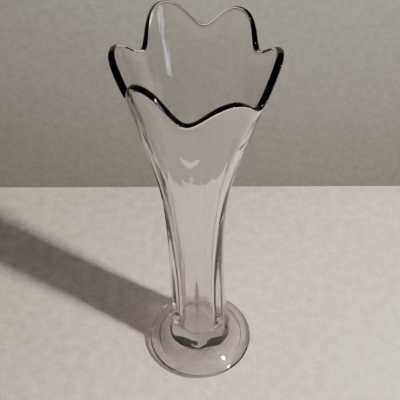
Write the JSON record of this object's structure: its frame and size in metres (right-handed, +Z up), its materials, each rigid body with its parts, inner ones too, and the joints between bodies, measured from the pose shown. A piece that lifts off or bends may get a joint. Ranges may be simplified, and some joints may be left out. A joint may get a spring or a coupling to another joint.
{
  "type": "footed flower vase",
  "caption": "Tall footed glass vase: round domed foot, softly panelled column and a flared bowl with a wavy scalloped rim.",
  "frame": {"origin": "on the table, under the middle of the round foot", "axes": "+Z up along the column to the mouth; -Y is the front, where a notch of the rim faces the viewer; +X is to the viewer's right"},
  "size_m": [0.0991, 0.0959, 0.28],
  "materials": {
    "foot_glass": "fire-polished, clear with a faint amethyst tint",
    "body_glass": "fire-polished, clear with a faint amethyst tint"
  },
  "bodies": {
    "root": {"foot": "foot_glass", "body": "body_glass"}
  },
  "joints": []
}
